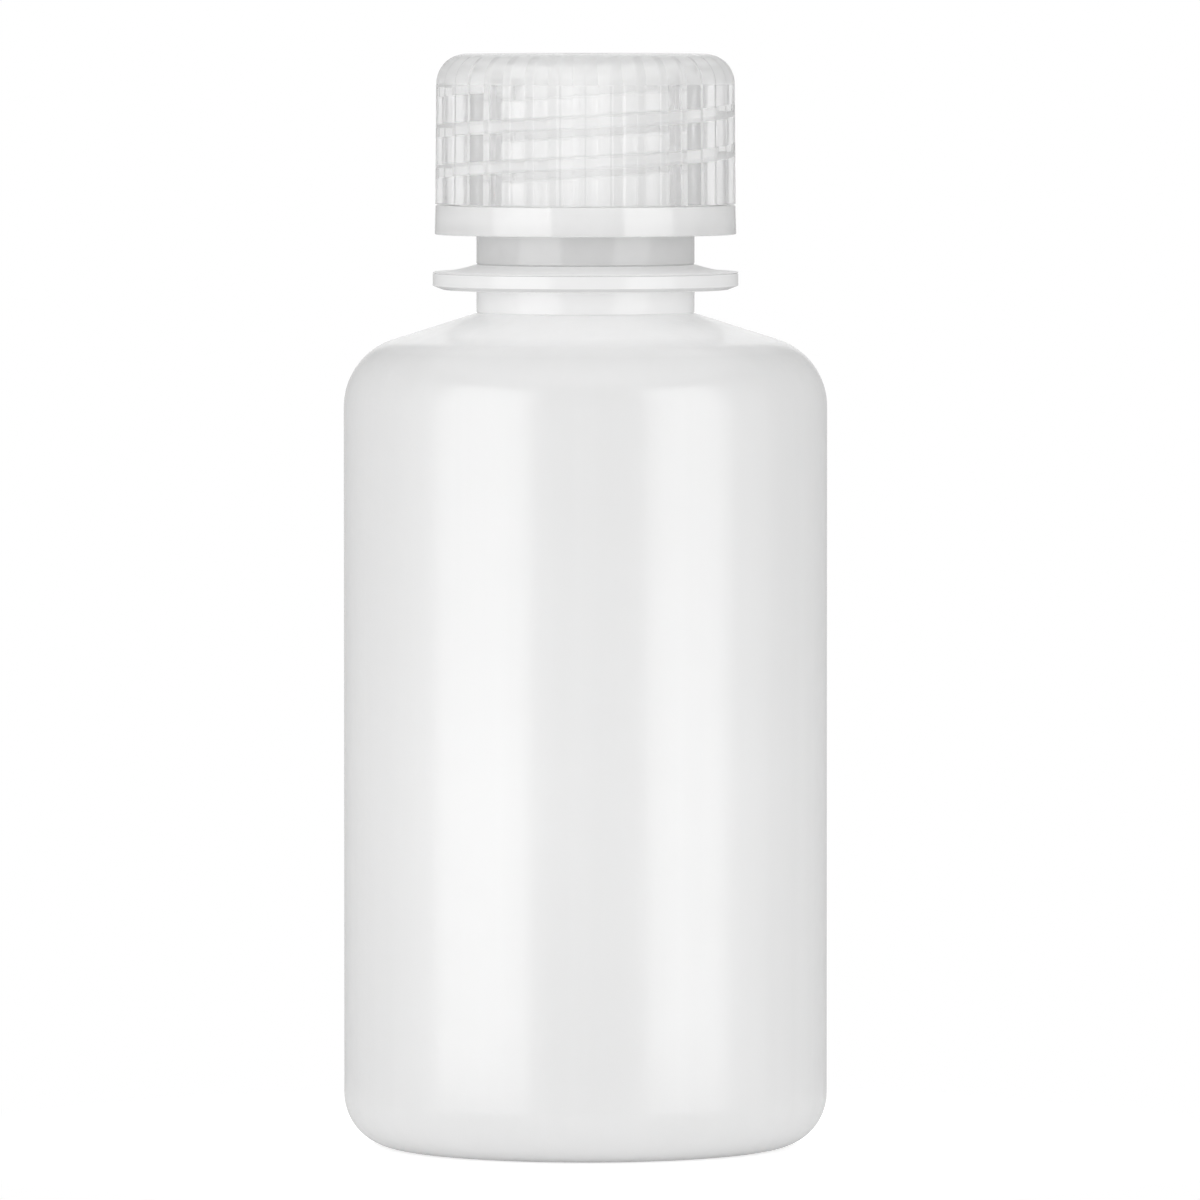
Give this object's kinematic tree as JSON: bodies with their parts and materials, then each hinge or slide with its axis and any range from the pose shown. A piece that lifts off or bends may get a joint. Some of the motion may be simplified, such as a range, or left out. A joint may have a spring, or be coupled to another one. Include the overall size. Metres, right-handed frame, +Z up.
{
  "type": "narrow-mouth plastic bottle with screw cap",
  "caption": "Small round narrow-mouth plastic bottle with a transfer ring on the neck, a ribbed translucent screw cap that unscrews and lifts off, and a separate tamper ring.",
  "frame": {"origin": "middle of the base, on the surface that the bottle stands on", "axes": "+Z up along the bottle's axis, -Y the front that the picture shows, +X to its right"},
  "size_m": [0.048, 0.048, 0.1085],
  "materials": {
    "bottle_plastic": "satin natural polyethylene, faintly translucent",
    "cap_plastic": "glossy natural polypropylene, translucent",
    "disc_plastic": "soft white polyethylene",
    "tamper_plastic": "glossy natural polypropylene, translucent"
  },
  "bodies": {
    "bottle": {"bottle_body": "bottle_plastic"},
    "seal": {"sealing_disc": "disc_plastic"},
    "cap": {"cap_shell": "cap_plastic"},
    "tamper": {"tamper_ring": "tamper_plastic"}
  },
  "joints": [
    {"name": "cap_rise", "type": "slide", "parent": "bottle", "child": "seal", "axis": [0, 0, 1], "range_m": [0, 0.016]},
    {"name": "cap_turn", "type": "hinge", "parent": "seal", "child": "cap", "pos_m": [0, 0, 0.0936], "axis": [0, 0, 1], "range_deg": [0, 1440]},
    {"name": "tamper_drop", "type": "slide", "parent": "bottle", "child": "tamper", "axis": [0, 0, -1], "range_m": [0, 0.0028]}
  ],
  "couplings": [
    {"joint": "cap_rise", "follows": "cap_turn", "m_per_rad": 0.00063662}
  ]
}
